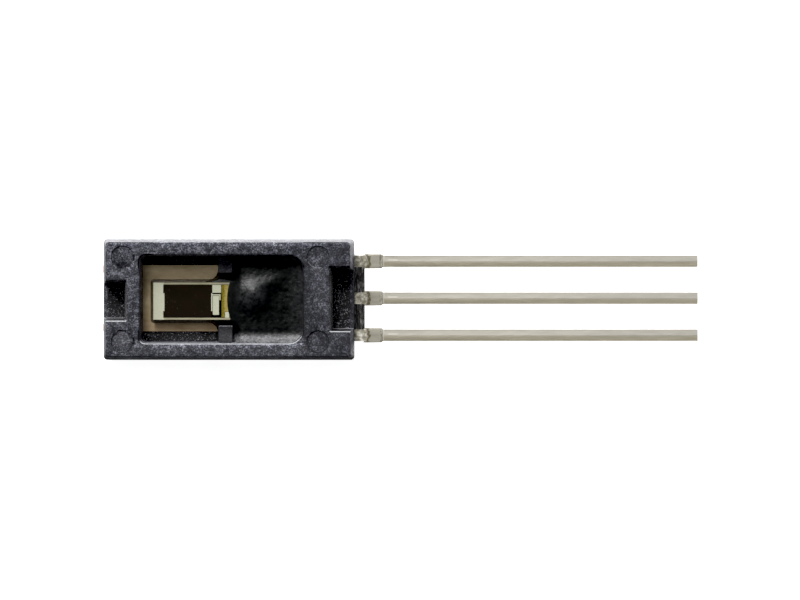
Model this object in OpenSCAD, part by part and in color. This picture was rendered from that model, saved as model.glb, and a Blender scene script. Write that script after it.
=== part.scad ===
// Humidity sensor in a three-lead single-in-line housing.
//
// A moulded black thermoset housing holds a stamped leadframe. A capacitive
// humidity chip is glued to the leadframe's paddle inside an open window, and
// black potting covers the end of the chip where its gold wires run to the leads.
//
// The origin is the centre of the housing's back face. +Z points out of the
// window and +X along the leads. All sizes are in millimetres.

/* [Housing] */
// Length of the housing at its parting line
body_l = 8.6; // [8.3:0.02:9.6]
// Width of the housing at its parting line
body_w = 4.15; // [4.05:0.01:4.8]
// Thickness of the housing, from back face to front face
body_h = 2.03; // [1.95:0.01:2.5]
// How far the outer walls lean in between the parting line and the front face
front_lean = 0.13; // [0.04:0.01:0.2]
// How far the outer walls lean in between the parting line and the back face
back_lean = 0.09; // [0.02:0.01:0.2]
// Radius of the housing's four upright corners
corner_r = 0.12; // [0.05:0.01:0.3]

/* [Window] */
// Width of the front face between its left end and the window
left_wall = 1.15; // [1.0:0.05:1.4]
// Width of the front face between the window and its lead end
lead_wall = 1.6; // [1.3:0.02:1.8]
// Width of the front face along each long side of the window
side_wall = 0.44; // [0.35:0.01:0.55]
// How far the window's walls lean in towards its floor
window_lean = 0.07; // [0.02:0.01:0.12]
// Corner radius at the window's sensing end
window_r = 0.2; // [0.1:0.02:0.4]
// Corner radius at the window's potted end
potted_r = 0.5; // [0.2:0.05:0.7]
// Length of the sensing chamber, from the window's left end to the gate posts
chamber_l = 2.7; // [2.5:0.01:2.9]

/* [Gate posts] */
// Length of a gate post along the housing
post_l = 0.45; // [0.3:0.05:0.55]
// Free space between the chip and each gate post
post_clearance = 0.27; // [0.15:0.01:0.35]
// Depth of the post tops below the front face
post_drop = 0.43; // [0.3:0.01:0.6]
// How far a post's walls lean between its foot and its top
post_lean = 0.06; // [0.02:0.01:0.1]
// Radius of a post's upright corners
post_r = 0.05; // [0.02:0.01:0.08]

/* [Cover notches] */
// Length of each notch, inwards from the front face's end
notch_l = 0.7; // [0.4:0.05:0.85]
// Width of the notch at the left end
left_notch_w = 1.36; // [1.0:0.02:1.8]
// Sideways offset of the left notch from the housing's centre line
left_notch_offset = 0.05; // [0:0.01:0.1]
// Width of the notch at the lead end
lead_notch_w = 2.18; // [1.6:0.02:2.3]
// Depth of the notches below the front face
notch_depth = 0.9; // [0.5:0.05:0.95]
// How far a notch's walls lean in towards its floor
notch_lean = 0.1; // [0.02:0.01:0.15]
// Radius of a notch's inner corners
notch_r = 0.04; // [0.02:0.01:0.08]

/* [Ejector marks] */
// Radius of the round marks that the mould's ejector pins leave
mark_r = 0.37; // [0.2:0.01:0.4]
// Depth of the ejector marks
mark_depth = 0.04; // [0.02:0.01:0.08]
// Distance of the marks' centres from the front face's long edges
mark_side = 0.5; // [0.42:0.01:0.6]
// Distance of the left marks' centres from the front face's left end
mark_left = 0.57; // [0.45:0.01:0.7]
// Distance of the other marks' centres from the front face's lead end
mark_lead = 1.1; // [0.8:0.01:1.2]

/* [Leadframe] */
// Thickness of the stamped leadframe
frame_t = 0.25; // [0.2:0.01:0.3]
// Thickness of plastic behind the leadframe
base_t = 0.64; // [0.45:0.01:0.75]
// Sideways shift of the leadframe from the housing's centre line
frame_shift = 0.04; // [0:0.01:0.08]
// Height by which the leadframe stands above the window's plastic floor
frame_proud = 0.03; // [0.01:0.01:0.06]
// Width of the paddle that carries the chip
paddle_w = 2.27; // [2.1:0.01:2.4]
// Bare paddle beyond the chip's covered end
paddle_margin = 0.25; // [0.1:0.05:0.35]
// Length of paddle that is moulded in under the window's left wall
paddle_lap = 0.3; // [0.15:0.05:0.5]
// Width of each tie bar at the paddle's left end
tie_w = 0.26; // [0.15:0.01:0.35]
// Distance between the centres of the two tie bars
tie_pitch = 2.0; // [1.8:0.02:2.0]
// Length by which the cut tie bars stand out of the housing
tie_stub = 0.02; // [0.01:0.01:0.06]

/* [Leads] */
// Distance between the centres of neighbouring leads
lead_pitch = 1.27; // [1.2:0.01:1.35]
// Width of a lead
lead_w = 0.4; // [0.3:0.01:0.48]
// Length of the leads outside the housing
lead_l = 11.78; // [6:0.02:16]
// Length of plastic flash between the leads, up to the cut dam bar
web_l = 0.35; // [0.2:0.01:0.5]
// Width of the cut dam bar, measured along the leads
dam_l = 0.58; // [0.3:0.01:0.7]
// Length of the dam bar stub left on each edge of a lead
dam_stub = 0.05; // [0.02:0.01:0.1]
// Distance from the dam bar to where the coined ridge begins
flat_l = 0.1; // [0.05:0.01:0.3]
// Depth of the coined edges below the ridge
ridge_drop = 0.035; // [0.01:0.005:0.06]
// Length of a lead's inner tip on the floor of the window
tip_l = 0.9; // [0.6:0.05:1.1]
// Width of the inner tips that the wires are bonded to
tip_w = 0.6; // [0.5:0.02:0.7]
// Gap between neighbouring inner tips
tip_gap = 0.2; // [0.15:0.01:0.25]
// Width of the arm between the paddle and the ground lead
arm_w = 0.4; // [0.3:0.02:0.45]
// Distance from the window's end wall to where the leads turn outwards
turn_inset = 0.15; // [0.1:0.01:0.2]
// Length over which a lead slants from its inner tip to its place in the row
turn_l = 0.45; // [0.35:0.01:0.55]

/* [Chip] */
// Length of the humidity chip
chip_l = 3.15; // [2.95:0.05:3.4]
// Width of the humidity chip
chip_w = 1.3; // [1.2:0.01:1.4]
// Thickness of the humidity chip
chip_t = 0.4; // [0.25:0.01:0.45]
// Distance from the window's left end, at its floor, to the chip
chip_gap = 0.36; // [0.2:0.01:0.4]
// Sideways shift of the chip from the housing's centre line
chip_shift = 0.06; // [0:0.01:0.1]
// Thickness of the adhesive under the chip
glue_t = 0.04; // [0.02:0.01:0.08]
// Width of the adhesive fillet around the chip
glue_fillet = 0.1; // [0.04:0.01:0.12]
// Thickness of the metal and polymer films on the chip
film_t = 0.01; // [0.005:0.005:0.02]

/* [Chip face] */
// Bare edge of the chip outside its metal
edge_gap = 0.015; // [0.01:0.005:0.03]
// Width of the contact strip at the chip's left end
strip_w = 0.34; // [0.25:0.01:0.4]
// Width of the two rails along the chip's long edges
rail_w = 0.065; // [0.04:0.005:0.09]
// Gap between neighbouring films
film_gap = 0.015; // [0.01:0.005:0.025]
// Length of the sensing film
film_l = 1.65; // [1.45:0.01:1.7]
// Length of the square contact above the sensing film's right corner
contact_l = 0.3; // [0.2:0.01:0.32]
// Width of that contact
contact_w = 0.27; // [0.2:0.01:0.32]
// Width of the fine traces
trace_w = 0.04; // [0.02:0.005:0.05]
// Gap between that contact and the trace below it
trace_gap = 0.05; // [0.03:0.01:0.06]
// Length, across the chip, of the tabs let into the sensing film's two ends
tab_l = 0.61; // [0.3:0.01:0.65]
// Length of the hook at the trace's other end
hook_l = 0.2; // [0.1:0.01:0.3]
// Length of the trimming pad, across the chip
trim_pad_l = 0.65; // [0.5:0.01:0.66]
// Width of the trimming pad, along the chip
trim_pad_w = 0.21; // [0.15:0.01:0.22]
// Distance from the circuit's left edge to the pad that the lower rail ends in
rail_pad_gap = 0.12; // [0.1:0.01:0.16]
// Length of that pad
rail_pad_l = 0.14; // [0.1:0.01:0.26]
// Width by which that pad stands in from the rail
rail_pad_w = 0.2; // [0.1:0.01:0.25]
// Side of the square bond pads
bond_pad = 0.14; // [0.1:0.01:0.16]
// Distance from the chip's long edges to the centres of the outer bond pads
bond_inset = 0.3; // [0.25:0.01:0.35]

/* [Bond wires] */
// Diameter of the gold bond wires
wire_d = 0.04; // [0.03:0.005:0.05]
// Height of a wire's loop above the chord between its two ends
loop_h = 0.2; // [0.12:0.01:0.25]
// Diameter of the ball at a wire's chip end
ball_d = 0.09; // [0.07:0.005:0.1]
// Distance from an inner tip's end to where its wire lands
land_inset = 0.3; // [0.2:0.01:0.4]

/* [Potting] */
// Thickness of the potting's front edge
front_t = 0.03; // [0.02:0.01:0.06]
// Distance from the gate posts to the potting's front edge
front_lip = 0.08; // [0.02:0.01:0.12]
// Length over which the potting thickens behind its front edge
front_run = 0.3; // [0.2:0.01:0.5]
// Length that the potting creeps along the chip's sides, out of the gate
creep_l = 0.5; // [0.3:0.01:0.8]
// Distance from the chip's sides over which that creep dies away
creep_w = 0.12; // [0.06:0.01:0.16]
// Depth of the potting's level inside the gate, below the chip's face
gate_sink = 0.14; // [0.05:0.01:0.2]
// Distance from the gate posts' near side to where the potting rises over the chip
shore_inset = 0.27; // [0.25:0.01:0.4]
// How strongly that shore bows towards the leads at the chip's sides
shore_bow = 0.25; // [0:0.05:0.4]
// Length over which the potting rises at its shore
shore_run = 0.2; // [0.15:0.01:0.3]
// Height of the potting's general level above the chip's face
pot_rise = 0.27; // [0.24:0.01:0.35]
// Height of the crown over the bond wires, above the general level
crown_h = 0.3; // [0.22:0.01:0.32]
// Distance from the bond pads to the crown's middle, towards the leads
crown_inset = 0.3; // [0.2:0.01:0.5]
// Distance of the crown's middle from the housing's centre line
crown_y = 0.3; // [0:0.01:0.35]
// Half length of the crown
crown_rx = 0.55; // [0.45:0.01:0.7]
// Half width of the crown
crown_ry = 0.5; // [0.4:0.01:0.6]
// Height of the lower swell beyond the crown
swell_h = 0.14; // [0.05:0.01:0.18]
// Distance from the crown's middle to the swell's middle, towards the leads
swell_inset = 0.7; // [0.5:0.01:0.9]
// Sideways distance from the crown's middle to the swell's middle
swell_offset = 0.2; // [0:0.01:0.3]
// Half length of the swell
swell_rx = 0.6; // [0.4:0.01:0.7]
// Half width of the swell
swell_ry = 0.36; // [0.3:0.01:0.5]
// Height that the potting climbs up the window's walls
climb_h = 0.3; // [0.15:0.01:0.33]
// Distance from the walls over which that climb dies away
climb_run = 0.13; // [0.08:0.01:0.2]

/* [Hidden] */
// Layers, from the back face up
frame_z = base_t;
frame_top = frame_z + frame_t;
floor_z = frame_top - frame_proud;
chip_z = frame_top + glue_t;
chip_top = chip_z + chip_t;
film_top = chip_top + film_t;
post_top = body_h - post_drop;
notch_z = body_h - notch_depth;

// Ends and sides of the front face and of the window in it
body_end = body_l / 2;
face_end = body_end - front_lean;
face_side = body_w / 2 - front_lean;
window_x0 = -face_end + left_wall;
window_x1 = face_end - lead_wall;
window_y = face_side - side_wall;
floor_x0 = window_x0 + window_lean;
floor_x1 = window_x1 - window_lean;
floor_y = window_y - window_lean;

// The chip, its contacts and the posts beside it
chip_x0 = floor_x0 + chip_gap;
chip_x1 = chip_x0 + chip_l;
chip_y0 = -chip_shift - chip_w / 2;
chip_y1 = chip_y0 + chip_w;
rail_y0 = chip_y0 + edge_gap;
rail_y1 = chip_y1 - edge_gap;
strip_x0 = chip_x0 + edge_gap;
strip_x1 = strip_x0 + strip_w;
film_x0 = strip_x1 + film_gap;
film_x1 = film_x0 + film_l;
film_y0 = rail_y0 + rail_w + film_gap;
film_y1 = rail_y1 - rail_w - film_gap;
contact_x0 = film_x1 + film_gap;
contact_x1 = contact_x0 + contact_l;
contact_y0 = film_y1 - contact_w;
tab_y1 = contact_y0 - film_gap;
tab_y0 = tab_y1 - tab_l;
trace_y1 = contact_y0 - trace_gap;
trim_pad_x0 = contact_x0 + film_gap;
trim_pad_x1 = trim_pad_x0 + trim_pad_w;
trim_pad_y1 = trace_y1 - trace_w - film_gap;
hook_x1 = trim_pad_x1 + film_gap + trace_w;
circuit_x0 = max(contact_x1, hook_x1) + film_gap;
circuit_x1 = chip_x1 - edge_gap;
post_x0 = window_x0 + chamber_l;
post_x1 = post_x0 + post_l;
post_y = chip_w / 2 + post_clearance;

// The leadframe's pieces in plan
paddle_x0 = floor_x0 - paddle_lap;
paddle_x1 = chip_x1 + paddle_margin;
paddle_y0 = frame_shift - paddle_w / 2;
paddle_y1 = frame_shift + paddle_w / 2;
lead_y = [for (i = [1, 0, -1]) frame_shift + i * lead_pitch];
tip_x0 = floor_x1 - tip_l;
ground_y0 = paddle_y1 - arm_w;
output_y0 = min(ground_y0 - tip_gap - tip_w, lead_y[1] - lead_w / 2);
supply_y1 = output_y0 - tip_gap;
turn_x0 = floor_x1 + turn_inset;
turn_x1 = turn_x0 + turn_l;
dam_x0 = body_end + web_l;
dam_x1 = dam_x0 + dam_l;
ridge_x0 = dam_x1 + flat_l;
ridge_angle = atan(ridge_drop / (lead_w / 2));
lead_tip = body_end + lead_l;

// The bond wires' ends on the chip and on the leadframe
bond_x = circuit_x1 - bond_pad;
bond_y = [chip_y1 - bond_inset, chip_y0 + chip_w / 2, chip_y0 + bond_inset];
land_x = tip_x0 + land_inset;
land_y = [paddle_y1 - arm_w / 2, output_y0 + tip_w / 2, supply_y1 - tip_w / 2];
wire_sides = 8;
wire_steps = 12;

// The potting's levels, its crown's middle and the spacing of its grid
pot_x0 = post_x0 - post_lean - front_lip;
pot_level = chip_top + pot_rise;
gate_level = chip_top - gate_sink;
shore_x = post_x0 + shore_inset;
crown_x = bond_x + crown_inset;
swell_x = crown_x + swell_inset;
swell_y = crown_y + swell_offset;
grid_step = 0.12;

// Circuit layer's window for the rail's pad
rail_pad_x0 = circuit_x0 + rail_pad_gap;
rail_pad_x1 = rail_pad_x0 + rail_pad_l;
rail_pad_y1 = rail_y0 + rail_w + rail_pad_w;

corner_steps = 6;
// Overlap of the outlines that make up one stamping, and reach of a cut past a face
lap = 0.01;
cut = 1;
$fn = 48;

// ---------------------------------------------------------------- outlines

function arc(x, y, r, from) = [
    for (i = [0:corner_steps])
        let (a = from + 90 * i / corner_steps)
        [x + r * cos(a), y + r * sin(a)]
];

// A rectangle with one corner radius at its left end and one at its right end
function plate(x0, x1, y0, y1, left_r, right_r) = concat(
    arc(x1 - right_r, y1 - right_r, right_r, 0),
    arc(x0 + left_r, y1 - left_r, left_r, 90),
    arc(x0 + left_r, y0 + left_r, left_r, 180),
    arc(x1 - right_r, y0 + right_r, right_r, 270)
);

// A solid between two outlines that have the same number of points
module loft(low, z0, high, z1) {
    n = len(low);
    polyhedron(
        points = concat(
            [for (p = low) [p[0], p[1], z0]],
            [for (p = high) [p[0], p[1], z1]]
        ),
        faces = concat(
            [[for (i = [0:n - 1]) i]],
            [[for (i = [n - 1:-1:0]) n + i]],
            [for (i = [0:n - 1]) let (j = (i + 1) % n) [i, n + i, n + j]],
            [for (i = [0:n - 1]) let (j = (i + 1) % n) [i, n + j, j]]
        )
    );
}

module slab(x0, x1, y0, y1, z0, z1) {
    translate([x0, y0, z0]) cube([x1 - x0, y1 - y0, z1 - z0]);
}

// ----------------------------------------------------------------- housing

function body_outline(lean) = plate(
    -body_end + lean, body_end - lean,
    -body_w / 2 + lean, body_w / 2 - lean,
    corner_r, corner_r
);

// The window, from its floor up to the front face and on past it, so that the
// walls keep their lean where they are cut
module window_space(above) {
    extra = window_lean * above / (body_h - floor_z);
    loft(
        plate(floor_x0, floor_x1, -floor_y, floor_y, window_r, potted_r), floor_z,
        plate(
            window_x0 - extra, window_x1 + extra,
            -window_y - extra, window_y + extra,
            window_r, potted_r
        ),
        body_h + above
    );
}

// A notch for a clip-on cover, open at the housing's lead end
module cover_notch(width) {
    depth_ratio = (notch_depth + cut) / notch_depth;
    wide = width / 2 - notch_lean + notch_lean * depth_ratio;
    long = face_end - notch_l + notch_lean - notch_lean * depth_ratio;
    loft(
        plate(face_end - notch_l + notch_lean, body_end + cut,
            -width / 2 + notch_lean, width / 2 - notch_lean, notch_r, notch_r),
        notch_z,
        plate(long, body_end + cut, -wide, wide, notch_r, notch_r),
        notch_z + notch_depth + cut
    );
}

module ejector_marks() {
    for (x = [-face_end + mark_left, face_end - mark_lead], side = [-1, 1])
        translate([x, side * (face_side - mark_side), body_h - mark_depth])
            cylinder(h = mark_depth + cut, r = mark_r);
}

// The two posts that keep the potting out of the sensing chamber. Each reaches
// into the window's wall behind it.
module gate_posts() {
    reach = window_y + side_wall / 2;
    for (side = [0, 1])
        mirror([0, side, 0])
            loft(
                plate(post_x0 - post_lean, post_x1 + post_lean,
                    post_y - post_lean, reach, post_r, post_r),
                floor_z - frame_proud,
                plate(post_x0, post_x1, post_y, reach, post_r, post_r),
                post_top
            );
}

module housing() {
    color([0.09, 0.09, 0.1])
    difference() {
        union() {
            difference() {
                union() {
                    loft(body_outline(back_lean), 0, body_outline(0), frame_top);
                    loft(body_outline(0), frame_top, body_outline(front_lean), body_h);
                }
                window_space(cut);
                cover_notch(lead_notch_w);
                translate([0, -left_notch_offset, 0])
                    mirror([1, 0, 0])
                        cover_notch(left_notch_w);
                ejector_marks();
            }
            gate_posts();
            slab(body_end - front_lean, dam_x0, lead_y[2], lead_y[0], frame_z, frame_top);
        }
        ground_stamping();
        output_stamping();
        supply_stamping();
    }
}

// --------------------------------------------------------------- leadframe

module bar(x0, x1, y0, y1) {
    translate([x0, y0]) square([x1 - x0, y1 - y0]);
}

// A lead in plan, from inside the housing to its square-cut tip, with the stubs
// of the cut dam bar
module lead_outline(y) {
    bar(turn_x1 - lap, lead_tip, y - lead_w / 2, y + lead_w / 2);
    polygon([
        for (side = [-1, 1], p = [
            [dam_x0 - dam_stub, 0],
            [dam_x0, dam_stub],
            [dam_x1, dam_stub],
            [dam_x1 + dam_stub, 0]
        ]) let (
            mirrored = side < 0 ? p : [dam_x0 + dam_x1 - p[0], p[1]]
        ) [mirrored[0], y + side * (lead_w / 2 + mirrored[1])]
    ]);
}

// The slanted stretch inside the housing that brings an inner tip to its lead
module turn_outline(tip_y0, tip_y1, y) {
    polygon([
        [turn_x0, tip_y0], [turn_x1, y - lead_w / 2],
        [turn_x1, y + lead_w / 2], [turn_x0, tip_y1]
    ]);
}

module stamping() {
    translate([0, 0, frame_z]) linear_extrude(frame_t) children();
}

// The paddle, its two tie bars and the ground lead are one stamping
module ground_stamping() {
    stamping() {
        bar(paddle_x0, paddle_x1, paddle_y0, paddle_y1);
        for (side = [-1, 1])
            bar(-body_end - tie_stub, paddle_x0 + lap,
                frame_shift + side * tie_pitch / 2 - tie_w / 2,
                frame_shift + side * tie_pitch / 2 + tie_w / 2);
        bar(paddle_x1 - lap, turn_x0 + lap, ground_y0, paddle_y1);
        turn_outline(ground_y0, paddle_y1, lead_y[0]);
        lead_outline(lead_y[0]);
    }
}

module output_stamping() {
    stamping() {
        bar(tip_x0, turn_x0 + lap, output_y0, output_y0 + tip_w);
        turn_outline(output_y0, output_y0 + tip_w, lead_y[1]);
        lead_outline(lead_y[1]);
    }
}

module supply_stamping() {
    stamping() {
        bar(tip_x0, turn_x0 + lap, supply_y1 - tip_w, supply_y1);
        turn_outline(supply_y1 - tip_w, supply_y1, lead_y[2]);
        lead_outline(lead_y[2]);
    }
}

// What coining takes off a lead's front, leaving a low ridge along its middle
module coining(y) {
    for (side = [0, 1])
        translate([ridge_x0, y, frame_top])
            mirror([0, side, 0])
                rotate([-ridge_angle, 0, 0])
                    cube([lead_tip - ridge_x0 + cut, lead_w, cut]);
}

module ground_lead() {
    color([0.72, 0.7, 0.64])
    difference() {
        ground_stamping();
        coining(lead_y[0]);
    }
}

module output_lead() {
    color([0.72, 0.7, 0.64])
    difference() {
        output_stamping();
        coining(lead_y[1]);
    }
}

module supply_lead() {
    color([0.72, 0.7, 0.64])
    difference() {
        supply_stamping();
        coining(lead_y[2]);
    }
}

// -------------------------------------------------------------------- chip

function chip_outline(grow) = plate(
    chip_x0 - grow, chip_x1 + grow, chip_y0 - grow, chip_y1 + grow,
    grow + lap, grow + lap
);

module die_attach() {
    color([0.55, 0.5, 0.4])
    loft(chip_outline(glue_fillet), frame_top, chip_outline(0), chip_z);
}

module humidity_chip() {
    color([0.13, 0.12, 0.09])
    slab(chip_x0, chip_x1, chip_y0, chip_y1, chip_z, chip_top);
}

module film(x0, x1, y0, y1) {
    slab(x0, x1, y0, y1, chip_top, film_top);
}

// Contact strip with its tab, the two rails along the chip and the lower rail's pad
module lower_electrode() {
    color([0.76, 0.77, 0.68]) {
        film(strip_x0, strip_x1, rail_y0, rail_y1);
        film(strip_x1 - lap, strip_x1 + trace_w, tab_y0, tab_y1);
        film(strip_x0, circuit_x1, rail_y0, rail_y0 + rail_w);
        film(strip_x0, circuit_x1, rail_y1 - rail_w, rail_y1);
        film(rail_pad_x0, rail_pad_x1, rail_y0, rail_pad_y1);
    }
}

// The tabs at its two ends are let into the film
module sensing_film() {
    color([0.11, 0.08, 0.05])
    difference() {
        film(film_x0, film_x1, film_y0, film_y1);
        for (x = [film_x0, film_x1])
            slab(x - trace_w, x + trace_w, tab_y0 - film_gap, tab_y1 + film_gap,
                chip_top - cut, film_top + cut);
    }
}

module upper_contact() {
    color([0.76, 0.77, 0.68])
    film(contact_x0, contact_x1, contact_y0, film_y1);
}

// The fine trace: a tab in the film's end, then a line that hooks round the trimming pad
module trim_trace() {
    color([0.7, 0.71, 0.6]) {
        film(contact_x0 - trace_w, contact_x0, tab_y0, tab_y1);
        film(contact_x0 - lap, hook_x1, trace_y1 - trace_w, trace_y1);
        film(hook_x1 - trace_w, hook_x1, trace_y1 - hook_l, trace_y1);
    }
}

module trim_pad() {
    color([0.78, 0.79, 0.7])
    film(trim_pad_x0, trim_pad_x1, trim_pad_y1 - trim_pad_l, trim_pad_y1);
}

module circuit_layer() {
    color([0.62, 0.53, 0.25])
    difference() {
        film(circuit_x0, circuit_x1, film_y0, film_y1);
        slab(rail_pad_x0 - film_gap, rail_pad_x1 + film_gap,
            film_y0 - cut, rail_pad_y1 + film_gap,
            chip_top - cut, film_top + cut);
    }
}

module bond_pads() {
    color([0.8, 0.8, 0.78])
    for (y = bond_y)
        slab(bond_x - bond_pad / 2, bond_x + bond_pad / 2,
            y - bond_pad / 2, y + bond_pad / 2, film_top, film_top + film_t);
}

// -------------------------------------------------------------- bond wires

// A wire rises straight off its ball, loops over and comes down to its foot
function wire_point(a, b, t) =
    a + (b - a) * (1 - cos(180 * t)) / 2 + [0, 0, loop_h * sin(180 * t)];

module bond_wire(i) {
    pad = [bond_x, bond_y[i], film_top + film_t];
    land = [land_x, land_y[i], frame_top];
    lift = [0, 0, wire_d / 2];
    color([0.85, 0.66, 0.25]) {
        translate(pad) cylinder(h = wire_d, d = ball_d);
        translate(land) cylinder(h = wire_d / 2, d = ball_d);
        for (k = [1:wire_steps])
            hull()
                for (t = [k - 1, k] / wire_steps)
                    translate(wire_point(pad + lift, land + lift, t))
                        sphere(d = wire_d, $fn = wire_sides);
    }
}

// ----------------------------------------------------------------- potting

function smooth(t) =
    let (s = max(0, min(1, t)))
    s * s * (3 - 2 * s);

// Where the potting's thin front edge lies: it creeps out along the chip's sides
function pot_front(y) =
    pot_x0 - creep_l * exp(-max(0, abs(y + chip_shift) - chip_w / 2) / creep_w);

// A rounded mound of height 1 over [cx, cy]
function mound(x, y, cx, cy, rx, ry) =
    exp(-pow((x - cx) / rx, 2) - pow((y - cy) / ry, 2));

// Height of the potting's surface: it thickens from its edge to the gate's level,
// crowns over the wires and climbs the window's walls
function pot_height(x, y) =
    let (
        edge = frame_top + front_t,
        gate = smooth((x - pot_front(y)) / front_run),
        shore = shore_x + shore_bow * y * y,
        rise = smooth((x - shore) / shore_run + 0.5),
        crown = crown_h * mound(x, y, crown_x, crown_y, crown_rx, crown_ry),
        swell = swell_h * mound(x, y, swell_x, swell_y, swell_rx, swell_ry),
        side = exp(-max(0, floor_y - abs(y)) / climb_run),
        end = exp(-max(0, floor_x1 - x) / climb_run)
    )
    edge
    + gate * (gate_level - edge)
    + rise * (pot_level - gate_level + crown + swell + climb_h * max(side, end));

module potting_block() {
    x1 = window_x1 + grid_step;
    y1 = window_y + grid_step;
    nx = ceil((x1 - pot_x0 + creep_l) / grid_step);
    ny = ceil(2 * y1 / grid_step);
    rows = ny + 1;
    top = [
        for (i = [0:nx], j = [0:ny])
            let (
                y = -y1 + 2 * y1 * j / ny,
                x = pot_front(y) + (x1 - pot_front(y)) * i / nx
            )
            [x, y, pot_height(x, y)]
    ];
    base = len(top);
    rim = concat(
        [for (i = [0:nx - 1]) i * rows],
        [for (j = [0:ny - 1]) nx * rows + j],
        [for (i = [nx:-1:1]) i * rows + ny],
        [for (j = [ny:-1:1]) j]
    );
    m = len(rim);
    polyhedron(
        points = concat(
            top,
            [for (k = rim) [top[k][0], top[k][1], floor_z - cut]]
        ),
        faces = concat(
            [
                for (i = [0:nx - 1], j = [0:ny - 1])
                    [i * rows + j, i * rows + j + 1, (i + 1) * rows + j + 1]
            ],
            [
                for (i = [0:nx - 1], j = [0:ny - 1])
                    [i * rows + j, (i + 1) * rows + j + 1, (i + 1) * rows + j]
            ],
            [for (k = [0:m - 1]) [rim[k], rim[(k + 1) % m], base + (k + 1) % m]],
            [for (k = [0:m - 1]) [rim[k], base + (k + 1) % m, base + k]],
            [[for (k = [0:m - 1]) base + k]]
        )
    );
}

module potting() {
    color([0.06, 0.06, 0.07])
    difference() {
        intersection() {
            potting_block();
            window_space(cut);
        }
        gate_posts();
        ground_stamping();
        output_stamping();
        supply_stamping();
        die_attach();
        humidity_chip();
        lower_electrode();
        circuit_layer();
        bond_pads();
        for (i = [0:2])
            bond_wire(i);
    }
}

// ---------------------------------------------------------------- assembly

housing();
ground_lead();
output_lead();
supply_lead();
die_attach();
humidity_chip();
lower_electrode();
sensing_film();
upper_contact();
trim_trace();
trim_pad();
circuit_layer();
bond_pads();
bond_wire(0);  // ground_wire
bond_wire(1);  // output_wire
bond_wire(2);  // supply_wire
potting();
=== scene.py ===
import math

import bpy
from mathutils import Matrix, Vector, noise


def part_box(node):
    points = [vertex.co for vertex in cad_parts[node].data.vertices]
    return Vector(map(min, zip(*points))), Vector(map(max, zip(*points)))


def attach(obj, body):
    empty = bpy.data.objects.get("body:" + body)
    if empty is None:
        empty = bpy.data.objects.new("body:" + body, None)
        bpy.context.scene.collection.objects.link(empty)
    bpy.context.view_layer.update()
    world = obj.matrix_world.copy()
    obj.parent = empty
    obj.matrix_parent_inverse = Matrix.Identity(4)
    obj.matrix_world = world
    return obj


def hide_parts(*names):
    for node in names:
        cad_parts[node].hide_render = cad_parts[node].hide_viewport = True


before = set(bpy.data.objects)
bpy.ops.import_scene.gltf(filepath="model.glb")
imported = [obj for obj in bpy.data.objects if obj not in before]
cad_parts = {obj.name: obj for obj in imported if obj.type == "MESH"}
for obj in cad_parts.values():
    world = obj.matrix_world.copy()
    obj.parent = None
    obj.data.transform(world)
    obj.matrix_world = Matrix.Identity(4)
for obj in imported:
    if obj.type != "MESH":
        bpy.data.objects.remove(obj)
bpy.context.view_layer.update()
mm = 0.001

# ---------------------------------------------------------------- studio
# The sensor lies on its back on a light table. A tall window of light stands behind its
# upper long side, a smaller lamp at the upper left casts its shadows, and the camera
# looks straight down on it from 170 mm, out of a dark ceiling.

camera_height = 170 * mm
camera_x, camera_y = 5.865 * mm, -0.022 * mm
picture_width = 27.586 * mm  # what the camera takes in at the table, along X
sensor_width = 36.0
darkest_black = 0.008

camera_data = bpy.data.cameras.new("camera")
camera_data.sensor_width = sensor_width
camera_data.lens = sensor_width * camera_height / picture_width
camera_data.clip_start = 5 * mm
camera = bpy.data.objects.new("camera", camera_data)
camera.location = (camera_x, camera_y, camera_height)
bpy.context.collection.objects.link(camera)
bpy.context.scene.camera = camera
view = bpy.context.scene.view_settings
view.view_transform = "Standard"
view.use_curve_mapping = True
view.curve_mapping.black_level = (darkest_black,) * 3
view.curve_mapping.update()

# What the sensor mirrors: a pale horizon under a dark ceiling and, below the horizon,
# the table's glow, which is bright on the window's side only.
horizon_tone, ceiling_tone = (0.5, 0.51, 0.53, 1), (0.11, 0.11, 0.115, 1)
horizon_end, ceiling_start = 0.25, 0.6
far_glow, middle_glow, near_glow = (0.015,) * 3 + (1,), (0.09,) * 3 + (1,), (1.0,) * 3 + (1,)
glow_strength = (6.0,) * 3 + (1,)
glow_edge = 0.12
horizon_height = -0.02

world = bpy.data.worlds.new("studio")
bpy.context.scene.world = world
world.use_nodes = True
world_nodes, world_links = world.node_tree.nodes, world.node_tree.links
direction = world_nodes.new("ShaderNodeTexCoord")
parts = world_nodes.new("ShaderNodeSeparateXYZ")
world_links.new(direction.outputs["Generated"], parts.inputs["Vector"])
sky = world_nodes.new("ShaderNodeValToRGB")
sky.color_ramp.elements[0].position = horizon_end
sky.color_ramp.elements[0].color = horizon_tone
sky.color_ramp.elements[1].position = ceiling_start
sky.color_ramp.elements[1].color = ceiling_tone
world_links.new(parts.outputs["Z"], sky.inputs["Fac"])
side = world_nodes.new("ShaderNodeMapRange")
side.inputs["From Min"].default_value = -glow_edge
side.inputs["From Max"].default_value = glow_edge
world_links.new(parts.outputs["Y"], side.inputs["Value"])
under = world_nodes.new("ShaderNodeValToRGB")
under.color_ramp.elements[0].color = far_glow
under.color_ramp.elements[1].color = near_glow
under.color_ramp.elements.new(0.5).color = middle_glow
world_links.new(side.outputs["Result"], under.inputs["Fac"])
glow = world_nodes.new("ShaderNodeMixRGB")
glow.blend_type = "MULTIPLY"
glow.inputs["Fac"].default_value = 1.0
glow.inputs["Color2"].default_value = glow_strength
world_links.new(under.outputs["Color"], glow.inputs["Color1"])
upwards = world_nodes.new("ShaderNodeMath")
upwards.operation = "GREATER_THAN"
upwards.inputs[1].default_value = horizon_height
world_links.new(parts.outputs["Z"], upwards.inputs[0])
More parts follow.
